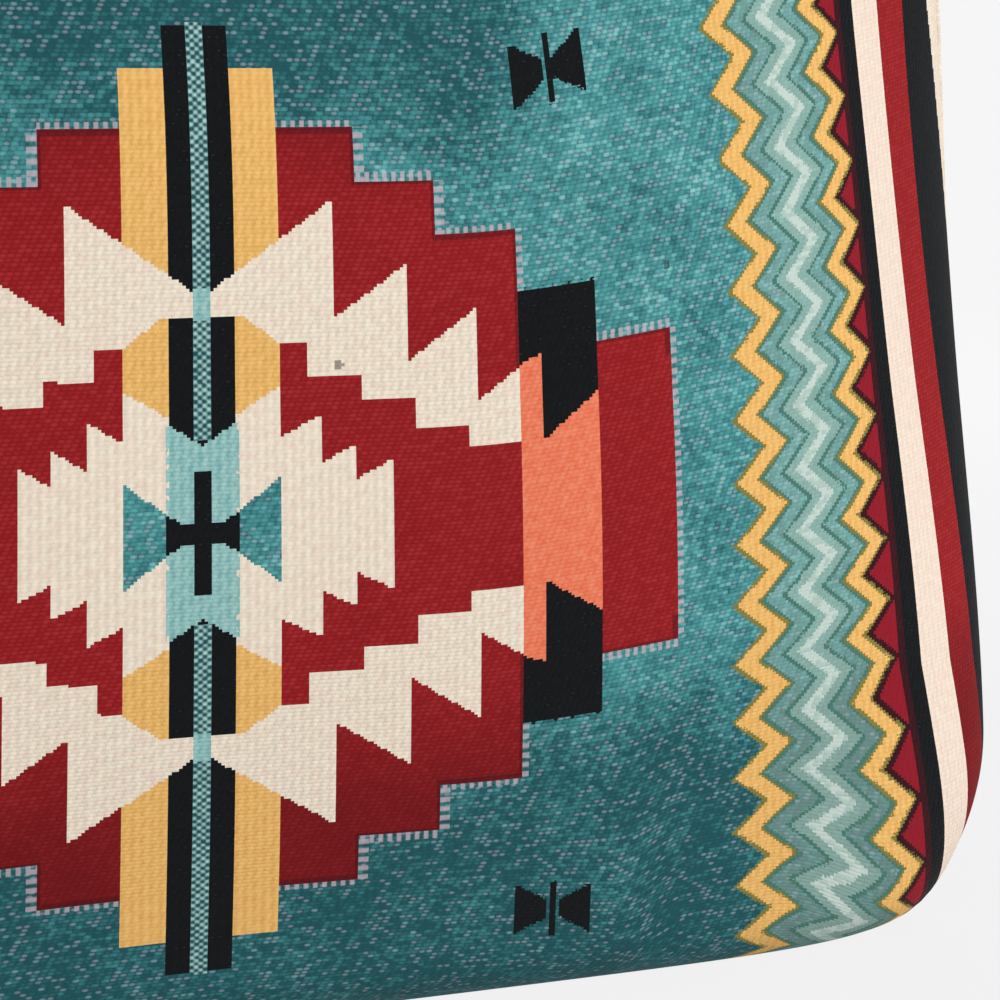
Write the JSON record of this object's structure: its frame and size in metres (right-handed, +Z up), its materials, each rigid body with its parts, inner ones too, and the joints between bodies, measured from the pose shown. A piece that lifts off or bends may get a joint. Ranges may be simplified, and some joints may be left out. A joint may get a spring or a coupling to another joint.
{
  "type": "crossbody bag",
  "caption": "Soft zipped crossbody bag of patterned jacquard cloth, flat base, webbing strap with adjuster laid down behind it.",
  "frame": {"origin": "middle of the base, on the surface the bag stands on", "axes": "+X along the zip to the right as seen from the front, -Y out of the front, +Z up"},
  "size_m": [0.2928, 0.2523, 0.2371],
  "materials": {
    "jacquard": "heavy woven jacquard in teal, red, yellow, cream, black and orange",
    "base_cloth": "plain black woven cloth",
    "lining_cloth": "plain cotton",
    "board": "pressed fibre board",
    "zip_tape": "woven tape",
    "zip_coil": "nylon coil",
    "zip_metal": "antique brass",
    "fitting_metal": "antique brass",
    "webbing": "flat woven cotton webbing",
    "leather": "smooth dark leather"
  },
  "bodies": {
    "bag": {"front_panel": "jacquard", "back_panel": "jacquard", "base_panel": "base_cloth", "base_board": "board", "lining": "lining_cloth", "zip_tape_front": "zip_tape", "zip_tape_back": "zip_tape", "zip_coil_front": "zip_coil", "zip_coil_back": "zip_coil", "zip_top_stop_front": "zip_metal", "zip_top_stop_back": "zip_metal", "zip_bottom_stop": "zip_metal", "strap_tab_left": "webbing", "strap_tab_right": "webbing", "strap_short": "webbing", "strap_long": "webbing", "strap_slide": "fitting_metal"},
    "slider": {"zip_slider": "zip_metal"},
    "puller": {"zip_puller": "zip_metal"},
    "left_ring": {"ring_left": "fitting_metal"},
    "right_ring": {"ring_right": "fitting_metal"},
    "keeper": {"strap_keeper": "leather"}
  },
  "joints": [
    {"name": "zip_slide", "type": "slide", "parent": "bag", "child": "slider", "axis": [1, 0, 0], "range_m": [-0.148, 0]},
    {"name": "puller_hinge", "type": "hinge", "parent": "slider", "child": "puller", "pos_m": [0.074, 0, 0.22865], "axis": [0, 1, 0], "range_deg": [0, 180]},
    {"name": "ring_left_swing", "type": "hinge", "parent": "bag", "child": "left_ring", "pos_m": [-0.113, 0, 0.234], "axis": [1, 0, 0], "range_deg": [0, 120], "deforming": ["strap_short"]},
    {"name": "ring_right_swing", "type": "hinge", "parent": "bag", "child": "right_ring", "pos_m": [0.113, 0, 0.234], "axis": [1, 0, 0], "range_deg": [0, 120], "deforming": ["strap_long"]},
    {"name": "keeper_slide", "type": "slide", "parent": "bag", "child": "keeper", "axis": [0, 0, 1], "range_m": [-0.01, 0.022]}
  ]
}
